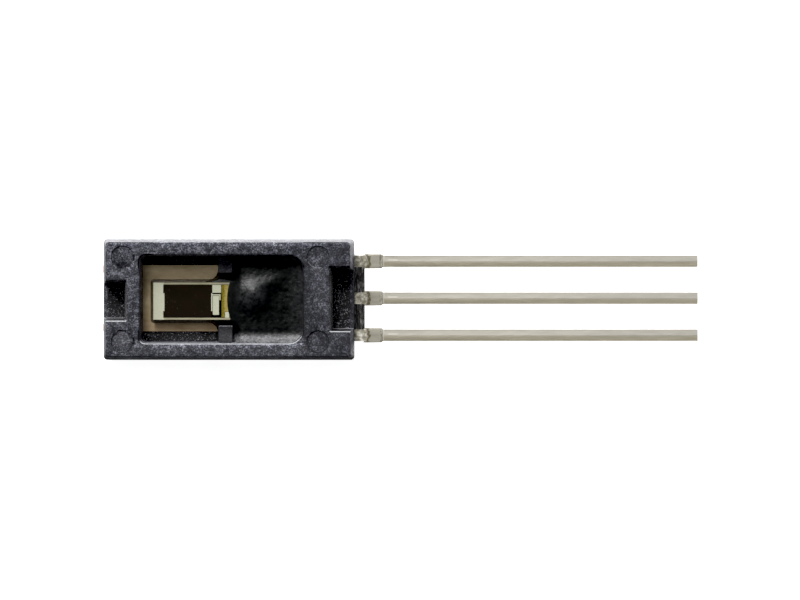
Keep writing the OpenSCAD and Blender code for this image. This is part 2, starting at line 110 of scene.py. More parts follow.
around = world_nodes.new("ShaderNodeMixRGB")
world_links.new(upwards.outputs["Value"], around.inputs["Fac"])
world_links.new(glow.outputs["Color"], around.inputs["Color1"])
world_links.new(sky.outputs["Color"], around.inputs["Color2"])
world_links.new(around.outputs["Color"], world_nodes["Background"].inputs["Color"])
world_nodes["Background"].inputs["Strength"].default_value = 1.0

window_place, window_size, window_power = (-0.11, 0.30, 0.245), 0.22, 2.6
key_place, key_size, key_power = (-0.09, 0.13, 0.37), 0.12, 0.3


def soft_lamp(name, place, size, watts):
    """A square softbox at place, turned to face the sensor."""
    data = bpy.data.lights.new(name, "AREA")
    data.size = size
    data.energy = watts
    lamp = bpy.data.objects.new(name, data)
    lamp.location = place
    lamp.rotation_euler = (-Vector(place)).to_track_quat("-Z", "Y").to_euler()
    bpy.context.collection.objects.link(lamp)
    return lamp


soft_lamp("window", window_place, window_size, window_power)
key = soft_lamp("key", key_place, key_size, key_power)
key.visible_glossy = False  # it lights the sensor, but isn't mirrored in it


def new_finish(name, roughness, metallic=0.0, specular=0.5):
    """A material with one Principled shader, and that shader."""
    material = bpy.data.materials.new(name)
    material.use_nodes = True
    shader = material.node_tree.nodes["Principled BSDF"]
    shader.inputs["Roughness"].default_value = roughness
    shader.inputs["Metallic"].default_value = metallic
    shader.inputs["Specular IOR Level"].default_value = specular
    return material, shader


def grain(material, size, detail=3.0, stretch=(1, 1, 1), rough=0.55):
    """A noise over the piece with features of about size, drawn out along its axes by stretch."""
    nodes, links = material.node_tree.nodes, material.node_tree.links
    place = nodes.new("ShaderNodeTexCoord")
    mapping = nodes.new("ShaderNodeMapping")
    mapping.inputs["Scale"].default_value = [1 / (size * s) for s in stretch]
    texture = nodes.new("ShaderNodeTexNoise")
    texture.inputs["Scale"].default_value = 1.0
    texture.inputs["Detail"].default_value = detail
    texture.inputs["Roughness"].default_value = rough
    links.new(place.outputs["Object"], mapping.inputs["Vector"])
    links.new(mapping.outputs["Vector"], texture.inputs["Vector"])
    return texture.outputs["Fac"]


def tones(material, value, *stops):
    """Colours along value: each stop is (place, colour)."""
    ramp = material.node_tree.nodes.new("ShaderNodeValToRGB")
    elements = ramp.color_ramp.elements
    while len(elements) < len(stops):
        elements.new(0.5)
    for element, (place, colour) in zip(elements, stops):
        element.position = place
        element.color = (*colour, 1)
    material.node_tree.links.new(value, ramp.inputs["Fac"])
    return ramp.outputs["Color"]


table_light = 0.95
bpy.ops.object.select_all(action="DESELECT")
bpy.ops.mesh.primitive_plane_add(size=1.0, location=(0, 0, 0))
table = bpy.context.object
table.name = "table"
table_finish, table_shader = new_finish("table_glass", 0.7, specular=0.2)
paper = tones(table_finish, grain(table_finish, 2 * mm),
              (0.3, (0.90, 0.90, 0.90)), (0.7, (0.94, 0.94, 0.94)))
table_finish.node_tree.links.new(paper, table_shader.inputs["Base Color"])
table_finish.node_tree.links.new(paper, table_shader.inputs["Emission Color"])
table_shader.inputs["Emission Strength"].default_value = table_light
table.data.materials.append(table_finish)
table.visible_glossy = False

# --------------------------------------------------------------- housing
# The housing is one transfer moulding of black, mineral-filled epoxy. Its faces keep
# the fine pitted grain of the mould, and its rims come out of the mould slightly
# rounded. It replaces the CAD node of the same shape.

housing_low, housing_high = (Vector(c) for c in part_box("housing"))
front_face = housing_high.z
body_end = -housing_low.x  # the web between the leads reaches further on the other side
web_end = housing_high.x
window_low, window_high = (Vector(c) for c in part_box("potting"))
glue_margin = 0.5 * mm  # between the die adhesive and the window's left end
window_low.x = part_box("die_attach")[0][0] - glue_margin
outer_round, inner_round, mark_round = 0.02 * mm, 0.06 * mm, 0.02 * mm
touching, margin = 0.001 * mm, 0.1 * mm  # how close counts as on a face, and as at the window
rim_band = 0.14 * mm  # the front face's outline lies this far inside the parting line's
notch_reach, notch_half = 0.85 * mm, 1.15 * mm  # both notches' rims lie within these
weld_distance, flat_angle = 1e-7, math.radians(1.0)
sharp_angle, smooth_angle = math.radians(25), math.radians(35)


def only(piece):
    """Makes piece the one selected and active object."""
    if bpy.context.object and bpy.context.object.mode != "OBJECT":
        bpy.ops.object.mode_set(mode="OBJECT")
    bpy.ops.object.select_all(action="DESELECT")
    piece.select_set(True)
    bpy.context.view_layer.objects.active = piece


def piece_from(node, name):
    """A copy of a CAD node as a piece of its own, with its loose triangles joined into faces."""
    piece = bpy.data.objects.new(name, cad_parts[node].data.copy())
    bpy.context.collection.objects.link(piece)
    piece.data.materials.clear()
    only(piece)
    bpy.ops.object.mode_set(mode="EDIT")
    bpy.ops.mesh.select_all(action="SELECT")
    bpy.ops.mesh.remove_doubles(threshold=weld_distance)
    bpy.ops.mesh.dissolve_limited(angle_limit=flat_angle)
    bpy.ops.mesh.select_all(action="DESELECT")
    bpy.ops.object.mode_set(mode="OBJECT")
    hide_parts(node)
    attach(piece, "root")
    return piece


def round_edges(piece, wanted, width, steps=3):
    """Rounds the sharp edges of piece for which wanted(end, other end) holds."""
    only(piece)
    bpy.ops.object.mode_set(mode="EDIT")
    bpy.ops.mesh.select_mode(type="EDGE")
    bpy.ops.mesh.select_all(action="DESELECT")
    bpy.ops.mesh.edges_select_sharp(sharpness=sharp_angle)
    bpy.ops.object.mode_set(mode="OBJECT")
    ends, edges = piece.data.vertices, piece.data.edges
    chosen = [e.index for e in edges if e.select and wanted(*(ends[i].co for i in e.vertices))]
    for part in (piece.data.polygons, edges, ends):
        part.foreach_set("select", [False] * len(part))
    for index in chosen:
        edges[index].select = True
        for end in edges[index].vertices:
            ends[end].select = True
    bpy.ops.object.mode_set(mode="EDIT")
    bpy.ops.mesh.bevel(offset=width, segments=steps, affect="EDGES", clamp_overlap=False)
    bpy.ops.mesh.select_all(action="DESELECT")
    bpy.ops.object.mode_set(mode="OBJECT")


def both(test):
    """A test on an edge that holds where test holds at both its ends."""
    return lambda a, b: test(a) and test(b)


def on_face(p):
    """Whether p lies on the front face."""
    return abs(p.z - front_face) < touching


def at_notch(p):
    """Whether p lies where one of the two cover notches is cut."""
    return abs(p.x) > body_end - notch_reach and abs(p.y) < notch_half


def in_window(p):
    """Whether p lies at the window or in it."""
    return window_low.x - margin < p.x < window_high.x + margin and abs(p.y) < window_high.y + margin


def on_outline(p):
    """Whether p lies along the outline of the housing."""
    return abs(p.x) > body_end - rim_band or abs(p.y) > housing_high.y - rim_band


def on_mark(p):
    """Whether p lies on the rim of an ejector mark."""
    return on_face(p) and not (at_notch(p) or in_window(p) or on_outline(p))


housing = piece_from("housing", "moulded_housing")
notch_rim = both(lambda p: on_face(p) and at_notch(p))
whole_outline = both(on_outline)
round_edges(housing, both(lambda p: on_face(p) and in_window(p)), inner_round)
round_edges(housing, lambda a, b: notch_rim(a, b) and not whole_outline(a, b), inner_round)
round_edges(housing, both(lambda p: on_face(p) and on_outline(p)), outer_round)
round_edges(housing, both(on_mark), mark_round, 2)
only(housing)
bpy.ops.object.shade_smooth_by_angle(angle=smooth_angle)


def blended(material, share, first, second, how="MIX"):
    """Two colours or values mixed by share, which is a number or a socket."""
    nodes, links = material.node_tree.nodes, material.node_tree.links
    mix = nodes.new("ShaderNodeMixRGB")
    mix.blend_type = how
    if isinstance(share, float):
        mix.inputs["Fac"].default_value = share
    else:
        links.new(share, mix.inputs["Fac"])
    links.new(first, mix.inputs["Color1"])
    links.new(second, mix.inputs["Color2"])
    return mix.outputs["Color"]


def relief(material, shader, height, depth, strength=1.0):
    """Bumps of depth over the whole surface, from the value height."""
    bump = material.node_tree.nodes.new("ShaderNodeBump")
    bump.inputs["Distance"].default_value = depth
    bump.inputs["Strength"].default_value = strength
    material.node_tree.links.new(height, bump.inputs["Height"])
    material.node_tree.links.new(bump.outputs["Normal"], shader.inputs["Normal"])


def measured(material, axis):
    """The place along axis on the piece."""
    nodes, links = material.node_tree.nodes, material.node_tree.links
    place = nodes.new("ShaderNodeTexCoord")
    split = nodes.new("ShaderNodeSeparateXYZ")
    links.new(place.outputs["Object"], split.inputs["Vector"])
    return split.outputs[axis]


def maths(material, operation, *values):
    """One Math node, fed with numbers or sockets."""
    node = material.node_tree.nodes.new("ShaderNodeMath")
    node.operation = operation
    for socket, value in zip(node.inputs, values):
        if isinstance(value, (int, float)):
            socket.default_value = value
        else:
            material.node_tree.links.new(value, socket)
    return node.outputs["Value"]


def ramp_up(material, value, start, end):
    """0 before start, 1 past end, and a soft step between."""
    node = material.node_tree.nodes.new("ShaderNodeMapRange")
    node.interpolation_type = "SMOOTHSTEP"
    node.inputs["From Min"].default_value = start
    node.inputs["From Max"].default_value = end
    material.node_tree.links.new(value, node.inputs["Value"])
    return node.outputs["Result"]


def stretch_of(material, value, start, end, soft):
    """1 from start to end and 0 outside, with edges soft wide."""
    rise = ramp_up(material, value, start - soft / 2, start + soft / 2)
    fall = ramp_up(material, value, end - soft / 2, end + soft / 2)
    return maths(material, "SUBTRACT", rise, fall)


def facing_along(material):
    """How far the surface faces along each axis, by the axis's name."""
    nodes, links = material.node_tree.nodes, material.node_tree.links
    surface = nodes.new("ShaderNodeNewGeometry")
    split = nodes.new("ShaderNodeSeparateXYZ")
    links.new(surface.outputs["True Normal"], split.inputs["Vector"])
    return split.outputs


def below(material, axis, limit):
    """1 where the place along axis is under limit, and 0 past it."""
    return maths(material, "LESS_THAN", measured(material, axis), limit)


def between(material, axis, limit):
    """1 within limit to both sides of the centre line, and 0 elsewhere."""
    return maths(material, "LESS_THAN", maths(material, "ABSOLUTE", measured(material, axis)), limit)


def product(material, *shares):
    """All the shares multiplied, which is 1 only where each of them is 1."""
    result = shares[0]
    for share in shares[1:]:
        result = maths(material, "MULTIPLY", result, share)
    return result


def over(material, value, limit):
    """1 where value is over limit, and 0 elsewhere."""
    return maths(material, "GREATER_THAN", value, limit)


def outside(material, share):
    """0 where share is 1, and 1 where it is 0."""
    return maths(material, "SUBTRACT", 1.0, share)


def tinted(material, colour, *tints):
    """The colour multiplied by each tint in turn."""
    for tint in tints:
        colour = blended(material, 1.0, colour, tint, "MULTIPLY")
    return colour


def painted(material, colour, *layers):
    """The colour with layers laid over it in turn: each is (share, colour)."""
    for share, layer in layers:
        colour = blended(material, share, colour, layer)
    return colour


compound, compound_shader = new_finish("moulding_compound", 0.6, specular=0.4)
facing = facing_along(compound)
lengthways, sideways = measured(compound, "X"), measured(compound, "Y")
height = measured(compound, "Z")
aside = maths(compound, "ABSOLUTE", lengthways)
level = ramp_up(compound, facing["Z"], 0.6, 0.8)
upper_side = ramp_up(compound, facing["Y"], 0.25, 0.55)
unchanged = (1.0, 1.0, 1.0)

# The matt skin is pitted in three sizes.
fine = grain(compound, 0.055 * mm, detail=5.0, rough=0.75)
middling = grain(compound, 0.16 * mm, detail=4.0, rough=0.65)
broad = grain(compound, 0.55 * mm, detail=4.0)
grit = blended(compound, 0.34, fine, middling)
speckle = tones(compound, grit, (0.38, (0.004, 0.004, 0.006)), (0.5, (0.033, 0.034, 0.042)),
                (0.62, (0.25, 0.255, 0.29)))
cloud = tones(compound, broad, (0.35, (0.66, 0.66, 0.71)), (0.65, (1.06, 1.06, 1.06)))

# It is darker towards the leads. The left and lower walls are darkened and the right one
# lightened, as painted shade and painted light, the body is painted lighter towards its
# upper side, and the upper edge and the window's lower lip carry painted highlights.
darkening_start, darkening_end = 1.5 * mm, 4 * mm
half_width = 1.8 * mm
edge_highlight_from, edge_highlight_to = housing_high.y - 0.4 * mm, housing_high.y - 0.13 * mm
lip_highlight_from, lip_highlight_to = window_low.y - 0.24 * mm, window_low.y - 0.02 * mm
darker_towards_leads = tones(compound, ramp_up(compound, lengthways, darkening_start, darkening_end),
             (0.0, unchanged), (1.0, (0.68, 0.68, 0.70)))
# painted light and shade: walls facing +X are lightened, walls facing -X darkened
end_wall_painted_light_and_shade = tones(compound, maths(compound, "MULTIPLY_ADD", facing["X"], 0.5, 0.5),
                 (0.3, (0.6, 0.6, 0.6)), (0.45, unchanged), (0.55, unchanged), (0.7, (1.4, 1.4, 1.4)))
# painted shade: walls facing -Y are darkened
lower_wall_painted_shade = tones(compound, maths(compound, "MULTIPLY_ADD", facing["Y"], 0.5, 0.5),
                  (0.3, (0.5, 0.5, 0.5)), (0.45, unchanged))
# painted highlight: the upward faces near the upper edge are lightened
painted_edge_highlight = product(compound, ramp_up(compound, sideways, edge_highlight_from, edge_highlight_to), level)
painted_edge_highlight = tones(compound, painted_edge_highlight, (0.0, unchanged), (1.0, (1.7, 1.7, 1.7)))
# painted highlight: the window's lower lip is lightened
painted_lip_highlight = product(compound, ramp_up(compound, sideways, lip_highlight_from, lip_highlight_to),
                    maths(compound, "LESS_THAN", sideways, window_low.y),
                    between(compound, "X", window_high.x), level)
painted_lip_highlight = tones(compound, painted_lip_highlight, (0.0, unchanged), (1.0, (2.2, 2.2, 2.2)))
# painted light: the body is darker towards its lower side and lighter towards its upper side
painted_light_across_body = tones(compound, ramp_up(compound, sideways, -half_width, half_width),
                    (0.0, (0.9, 0.9, 0.9)), (1.0, (1.12, 1.12, 1.12)))

# A smear of resin darkens the rim at the window's right end.
smear_reach, smear_back = 0.45 * mm, 0.1 * mm
smear_full, smear_end = 1.1 * mm, 1.6 * mm
past_window = maths(compound, "SUBTRACT", lengthways, window_high.x)
off_axis = maths(compound, "ABSOLUTE", sideways)
smeared = product(compound, outside(compound, ramp_up(compound, past_window, 0.0, smear_reach)),
                  over(compound, past_window, -smear_back),
                  outside(compound, ramp_up(compound, off_axis, smear_full, smear_end)))
smear = tones(compound, smeared, (0.0, unchanged), (1.0, (0.36, 0.36, 0.38)))
matt_colour = tinted(compound, speckle, cloud, darker_towards_leads, end_wall_painted_light_and_shade, lower_wall_painted_shade, painted_edge_highlight, painted_lip_highlight,
                     painted_light_across_body, smear)

# The mould's polished cores leave a shiny skin with a few sparkles in the notches and on
# the window's floor. Its near-black colour there is partly painted shade in these recesses.
core_level, core_side = 1.5 * mm, 1.6 * mm  # the core of the window shapes what lies within these
notch_floor, notch_end = front_face - 0.9 * mm, body_end - 0.90 * mm
notch_side, left_notch_side = 1.13 * mm, 0.9 * mm
face_end = body_end - 0.145 * mm
rim_depth = 0.018 * mm
sparkle = grain(compound, 0.05 * mm, detail=5.0, rough=0.8)
shiny_skin_and_painted_shade = tones(compound, sparkle, (0.53, (0.001, 0.001, 0.0015)), (0.58, (0.03, 0.03, 0.033)),
                     (0.65, (0.42, 0.42, 0.45)))
in_face = maths(compound, "LESS_THAN", aside, face_end)
beside_left_notch = product(compound, below(compound, "X", 0.0),
                            outside(compound, between(compound, "Y", left_notch_side)))
in_notch = product(compound, between(compound, "Y", notch_side), over(compound, aside, notch_end),
                   outside(compound, beside_left_notch))
notch_core = product(compound, in_notch, below(compound, "Z", front_face - rim_depth), in_face)
window_core = product(compound, below(compound, "Z", core_level), level, in_face,
                      between(compound, "Y", core_side))
core = maths(compound, "MAXIMUM", notch_core, window_core)
core_and_painted_shade_colour = blended(compound, core, matt_colour, shiny_skin_and_painted_shade)

# The gate posts' tops carry painted shade, the ejector marks' floors are darker, and the marks' walls
# carry the darkest painted shade.
post_zone_top, post_half_width, post_soft = front_face - 0.3 * mm, 1 * mm, 0.02 * mm
mark_low, mark_high, mark_soft = front_face - 0.06 * mm, front_face - 0.03 * mm, 0.002 * mm
wall_low, wall_high, wall_soft = front_face - 0.038 * mm, front_face - 0.001 * mm, 0.001 * mm
mark_inner = 1.05 * mm
painted_post_shade = tones(compound, ramp_up(compound, sideways, -post_half_width, post_half_width),
                   (0.0, (0.17, 0.17, 0.19)), (1.0, (0.2, 0.2, 0.22)))
on_post = product(compound, between(compound, "Y", core_side), level,
                  stretch_of(compound, height, core_level, post_zone_top, post_soft))
post_painted_shade_colour = painted(compound, core_and_painted_shade_colour, (on_post, tinted(compound, core_and_painted_shade_colour, painted_post_shade)))
beyond_window = over(compound, aside, window_high.x)
on_mark_floor = product(compound, stretch_of(compound, height, mark_low, mark_high, mark_soft),
                        beyond_window, outside(compound, between(compound, "Y", notch_side)), level)
mark_shade = tones(compound, broad, (0.3, (0.65, 0.65, 0.68)), (0.65, (0.95, 0.95, 0.95)))
on_mark_wall = product(compound, stretch_of(compound, height, wall_low, wall_high, wall_soft),
                       beyond_window, in_face, outside(compound, between(compound, "Y", mark_inner)))
# painted shade: the ejector marks' walls are near black
painted_mark_wall_shade = tones(compound, fine, (0.4, (0.003, 0.003, 0.004)), (0.65, (0.03, 0.03, 0.034)))
mark_colour = painted(compound, post_painted_shade_colour, (on_mark_floor, tinted(compound, post_painted_shade_colour, mark_shade)),
                      (on_mark_wall, painted_mark_wall_shade))
skin_gloss, wall_gloss = 0.4, 0.02
gloss = maths(compound, "MULTIPLY_ADD", on_mark_wall, wall_gloss - skin_gloss, skin_gloss)
compound.node_tree.links.new(gloss, compound_shader.inputs["Specular IOR Level"])

# Rims that face the window of light carry painted highlights: the window's and the
# notches' at the front face, the posts' tops and the notches' feet.
window_side, post_top = -window_low.x, front_face - 0.43 * mm
rim_low, rim_high, rim_soft = front_face - 0.05 * mm, front_face - 0.004 * mm, 0.006 * mm
foot_reach, post_reach, post_gap, band_soft = 0.1 * mm, 0.1 * mm, 0.002 * mm, 0.08 * mm
painted_rim_highlight = tones(compound, fine, (0.35, (0.24, 0.245, 0.255)), (0.6, (0.50, 0.51, 0.53)))
rim_zone = stretch_of(compound, height, rim_low, rim_high, rim_soft)
foot_zone = stretch_of(compound, height, notch_floor, notch_floor + foot_reach, band_soft)
post_zone = stretch_of(compound, height, post_top - post_reach, post_top - post_gap, band_soft)
at_window = product(compound, between(compound, "Y", core_side),
                    maths(compound, "LESS_THAN", aside, window_side))
highlit_rim = product(compound, rim_zone, maths(compound, "MAXIMUM", at_window, in_notch))
highlit_wall = maths(compound, "ADD", product(compound, foot_zone, in_notch),
                    product(compound, post_zone, at_window))
painted_highlight_share = product(compound, upper_side, maths(compound, "MAXIMUM", highlit_rim, highlit_wall))

# The flash web between the leads has long, torn grain.
web_edge = 0.02 * mm
on_web = ramp_up(compound, lengthways, body_end - web_edge, body_end)
web_grain = grain(compound, 0.05 * mm, detail=4.0, stretch=(1, 6, 1), rough=0.75)
web_colour = tones(compound, web_grain, (0.45, (0.004, 0.004, 0.004)), (0.56, (0.05, 0.047, 0.045)),
                   (0.64, (0.22, 0.215, 0.21)))
compound_colour = painted(compound, mark_colour, (painted_highlight_share, painted_rim_highlight), (on_web, web_colour))
compound.node_tree.links.new(compound_colour, compound_shader.inputs["Base Color"])
mould_height = blended(compound, on_web, fine, web_grain)
relief(compound, compound_shader, mould_height, 0.03 * mm, 0.8)
housing.data.materials.append(compound)

# ----------------------------------------------------------------- leads
# Three strips stamped from 0.25 mm copper alloy and tinned where they leave the
# housing. The ground lead is one stamping with the plated paddle under the chip and
# its tie bars, whose ends are cut off bare at the housing's left end.

lead_round, sheared_round = 0.025 * mm, 0.07 * mm
lead_root = body_end - 0.01 * mm
lead_pitch, lead_shift = 1.27 * mm, 0.04 * mm
dam_end = web_end + 0.58 * mm  # where the cut dam bar's stub ends
ridge_start = dam_end + 0.11 * mm  # from here on the lead is coined
stub_side = 0.22 * mm  # the stub is wider than the lead, past this from the centre line
slack = 0.01 * mm
lead_smooth_angle = math.radians(20)


def lead_place(p):
    """How far p lies from the centre line of its lead."""
    return (p.y - lead_shift + lead_pitch / 2) % lead_pitch - lead_pitch / 2


def on_lead(p):
    """Whether p lies on the upper side of the lead in hand, short of the coined ridge."""
    return lead_root < p.x < ridge_start and p.z > lead_top - slack


def on_sheared_side(p):
    """Whether p lies on the upper side of the stub that a cut dam bar has left."""
    return on_lead(p) and web_end - slack < p.x < dam_end + slack and lead_place(p) > stub_side


tin, tin_shader = new_finish("tinned_alloy", 0.5, specular=0.25)
along = measured(tin, "X")
back_along = maths(tin, "MULTIPLY", along, -1.0)
across = maths(tin, "SUBTRACT", measured(tin, "Y"), lead_shift)
across = maths(tin, "WRAP", across, lead_pitch / 2, -lead_pitch / 2)
drawn = grain(tin, 0.12 * mm, stretch=(5, 1, 1))
clotted = grain(tin, 0.12 * mm, detail=4.0, rough=0.6)
wrinkled = grain(tin, 0.035 * mm, detail=4.0, stretch=(1, 4, 1))
patchy = grain(tin, 0.35 * mm, detail=4.0, stretch=(2.5, 1, 1))

# Drawn tin carries a painted highlight streak just past the stub. It is warmer along its
# lower half, its upper half is painted lighter as painted light, and it is duller towards the tips.
streak_start, streak_end, streak_soft = dam_end + 0.22 * mm, dam_end + 0.56 * mm, 0.12 * mm
streak_low, streak_high, streak_side_soft = 0.03 * mm, 0.055 * mm, 0.02 * mm
warm_end, cool_start = -0.08 * mm, 0.04 * mm
dull_start, dull_end = 5 * mm, 17 * mm
bright_tin = tones(tin, drawn, (0.3, (0.46, 0.44, 0.38)), (0.7, (0.53, 0.51, 0.445)))
painted_highlight_tin = tones(tin, drawn, (0.0, (0.72, 0.70, 0.60)), (1.0, (0.80, 0.78, 0.68)))
painted_streak_share = product(tin, stretch_of(tin, along, streak_start, streak_end, streak_soft),
                 stretch_of(tin, across, streak_low, streak_high, streak_side_soft))
# partly painted light: the upper half is lightened and the lower half tinted warmer
warmth_and_painted_light = tones(tin, ramp_up(tin, across, warm_end, cool_start),
               (0.0, (1.0, 0.95, 0.83)), (1.0, (1.08, 1.07, 1.06)))
dulling = tones(tin, ramp_up(tin, along, dull_start, dull_end),
                (0.0, unchanged), (1.0, (0.67, 0.67, 0.68)))
drawn_colour = tinted(tin, painted(tin, bright_tin, (painted_streak_share, painted_highlight_tin)), warmth_and_painted_light, dulling)

# The stub keeps flat, darker tin with a wrinkled burr at its end. A clotted crust with a
# bowed, ragged edge lies where the lead leaves the housing, and past it a painted shadow of that edge.
crust_start, crust_end, crust_soft = body_end - 1 * mm, web_end + 0.10 * mm, 0.03 * mm
crust_shadow_end, crust_shadow_soft = web_end + 0.20 * mm, 0.05 * mm
flat_end, flat_soft = dam_end - 0.04 * mm, 0.02 * mm
burr_start, burr_end, burr_soft = dam_end - 0.07 * mm, dam_end + 0.06 * mm, 0.03 * mm
bow_per_mm, raggedness = 1.0, 0.3 * mm
flat_tin = tones(tin, drawn, (0.3, (0.265, 0.25, 0.20)), (0.7, (0.325, 0.31, 0.26)))
burr_tone = tones(tin, wrinkled, (0.40, (0.15, 0.14, 0.11)), (0.60, (0.35, 0.335, 0.285)))
crust = tones(tin, clotted, (0.38, (0.19, 0.175, 0.13)), (0.50, (0.33, 0.31, 0.25)),
              (0.66, (0.66, 0.64, 0.56)))
painted_crust_shadow = tones(tin, clotted, (0.3, (0.07, 0.062, 0.035)), (0.7, (0.14, 0.125, 0.08)))
bowed = maths(tin, "MULTIPLY", product(tin, across, across), bow_per_mm / mm)
ragged = maths(tin, "MULTIPLY", maths(tin, "SUBTRACT", clotted, 0.5), raggedness)
shaken = maths(tin, "ADD", maths(tin, "ADD", along, bowed), ragged)
on_crust = stretch_of(tin, shaken, crust_start, crust_end, crust_soft)
on_crust_shadow = stretch_of(tin, shaken, crust_end, crust_shadow_end, crust_shadow_soft)
on_flat = stretch_of(tin, along, web_end, flat_end, flat_soft)
on_burr = stretch_of(tin, along, burr_start, burr_end, burr_soft)

# Inside the housing the stamping is plated, as the paddle shows. Its lower strip, under the
# chip, carries a painted shadow, and its upper strip painted light. The tie bars' cut ends are bare
# copper.
paddle_shade_half = 0.9 * mm
plating = tones(tin, patchy, (0.32, (0.44, 0.34, 0.20)), (0.68, (0.64, 0.52, 0.33)))
painted_paddle_shade = tones(tin, ramp_up(tin, measured(tin, "Y"), -paddle_shade_half, paddle_shade_half),
                (0.0, (0.78, 0.74, 0.74)), (0.06, unchanged), (0.94, unchanged),
                (1.0, (1.12, 1.13, 1.15)))
cut_copper = tones(tin, clotted, (0.3, (0.42, 0.25, 0.19)), (0.7, (0.60, 0.40, 0.33)))
inside = ramp_up(tin, back_along, -lead_root - slack, -lead_root)
bare_end = ramp_up(tin, back_along, body_end - slack, body_end)
lead_colour = painted(tin, drawn_colour, (on_flat, flat_tin), (on_crust_shadow, painted_crust_shadow), (on_crust, crust),
                      (on_burr, burr_tone), (inside, tinted(tin, plating, painted_paddle_shade)),
                      (bare_end, cut_copper))
tin.node_tree.links.new(lead_colour, tin_shader.inputs["Base Color"])
lead_height = painted(tin, drawn, (on_burr, wrinkled), (on_crust, clotted))
relief(tin, tin_shader, lead_height, 0.02 * mm, 0.5)

for node in ("ground_lead", "output_lead", "supply_lead"):
    lead = piece_from(node, "stamped_" + node)
    lead_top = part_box(node)[1][2]
    round_edges(lead, both(on_sheared_side), sheared_round)
    round_edges(lead, both(lambda p: on_lead(p) and not on_sheared_side(p)), lead_round)
    only(lead)
    bpy.ops.object.shade_smooth_by_angle(angle=lead_smooth_angle)
    lead.data.materials.append(tin)

# ------------------------------------------------------------------ chip
# A sawn slip of dark glass carries the sensing capacitor. It is glued to the paddle
# with a thin, slightly squeezed-out layer of adhesive.

glue, glue_shader = new_finish("die_adhesive", 0.35)
glue_tone = tones(glue, grain(glue, 0.1 * mm), (0.3, (0.07, 0.055, 0.03)), (0.7, (0.13, 0.10, 0.06)))
glue.node_tree.links.new(glue_tone, glue_shader.inputs["Base Color"])

chip, chip_shader = new_finish("chip_body", 0.3, specular=0.3)
chip_tone = tones(chip, grain(chip, 0.2 * mm),
                  (0.3, (0.018, 0.017, 0.009)), (0.7, (0.035, 0.034, 0.018)))
chip.node_tree.links.new(chip_tone, chip_shader.inputs["Base Color"])

chip_low, chip_high = (Vector(c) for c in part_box("humidity_chip"))
chip_mid, chip_half = (chip_low.y + chip_high.y) / 2, (chip_high.y - chip_low.y) / 2
film_low, film_high = (Vector(c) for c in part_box("sensing_film"))

# The contacts are thin metal films, darker and drawn out along the rails beside the
# sensing film.
rail_edge, rail_start = 0.012 * mm, 0.02 * mm
film_half = film_high.y - chip_mid
contact, contact_shader = new_finish("contact_metal", 0.5, specular=0.3)
contact_tone = tones(contact, grain(contact, 0.08 * mm),
                     (0.3, (0.42, 0.425, 0.32)), (0.7, (0.46, 0.465, 0.355)))
rail_tone = tones(contact, grain(contact, 0.2 * mm, stretch=(3, 1, 1)),
                  (0.3, (0.25, 0.235, 0.155)), (0.7, (0.34, 0.32, 0.225)))
off_centre = maths(contact, "ABSOLUTE", maths(contact, "SUBTRACT", measured(contact, "Y"), chip_mid))
on_rail = product(contact, ramp_up(contact, off_centre, film_half, film_half + rail_edge),
                  ramp_up(contact, measured(contact, "X"), film_low.x, film_low.x + rail_start))
contact_colour = blended(contact, on_rail, contact_tone, rail_tone)
contact.node_tree.links.new(contact_colour, contact_shader.inputs["Base Color"])

# The sensing film is a dark polymer with a little dust and a few scuffs on it.
film, film_shader = new_finish("sensing_polymer", 0.3, specular=0.15)
film_tone = tones(film, grain(film, 0.7 * mm),
                  (0.3, (0.0105, 0.0095, 0.0068)), (0.7, (0.0145, 0.0105, 0.0080)))
dust = grain(film, 0.07 * mm, detail=2.0, rough=0.8)
dusty = tones(film, dust, (0.70, (0.0, 0.0, 0.0)), (0.78, (0.10, 0.09, 0.075)))
film_colour = blended(film, 1.0, film_tone, dusty, "ADD")
scuffs = tones(film, grain(film, 0.09 * mm, detail=3.0, stretch=(1, 2, 1), rough=0.7),
               (0.64, (0.0, 0.0, 0.0)), (0.76, (0.028, 0.019, 0.012)))
film_colour = blended(film, 1.0, film_colour, scuffs, "ADD")
film.node_tree.links.new(film_colour, film_shader.inputs["Base Color"])

# The circuit's oxide is olive at its left edge and golden further in.
circuit_low = Vector(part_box("circuit_layer")[0])
golden_start, golden_full = circuit_low.x + 0.05 * mm, circuit_low.x + 0.14 * mm
circuit, circuit_shader = new_finish("circuit_film", 0.4, specular=0.3)
circuit_grain = grain(circuit, 0.05 * mm, detail=4.0)
olive = tones(circuit, circuit_grain, (0.35, (0.10, 0.078, 0.004)), (0.65, (0.20, 0.155, 0.02)))
golden = tones(circuit, circuit_grain, (0.35, (0.22, 0.17, 0.035)), (0.65, (0.36, 0.29, 0.095)))
inward = ramp_up(circuit, measured(circuit, "X"), golden_start, golden_full)
circuit_tone = blended(circuit, inward, olive, golden)
circuit.node_tree.links.new(circuit_tone, circuit_shader.inputs["Base Color"])

gold, gold_shader = new_finish("bond_gold", 0.25, metallic=1.0)
gold_tone = tones(gold, grain(gold, 0.05 * mm), (0.3, (0.75, 0.55, 0.2)), (0.7, (0.85, 0.64, 0.26)))
gold.node_tree.links.new(gold_tone, gold_shader.inputs["Base Color"])

carried = {
    "die_attach": glue,
    "humidity_chip": chip,
    "lower_electrode": contact,
    "sensing_film": film,
    "upper_contact": contact,
    "trim_trace": contact,
    "trim_pad": contact,
    "circuit_layer": circuit,
    "bond_pads": contact,
    "ground_wire": gold,
    "output_wire": gold,
    "supply_wire": gold,
}
for node, finish in carried.items():
    node_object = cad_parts[node]
    node_object.data.materials.clear()
    node_object.data.materials.append(finish)

# --------------------------------------------------------------- potting
# Black resin is dispensed over the bond wires and cures to a soft gloss. It domes
# over the chip's end, climbs the window's walls and creeps a little way along the
# chip's sides.

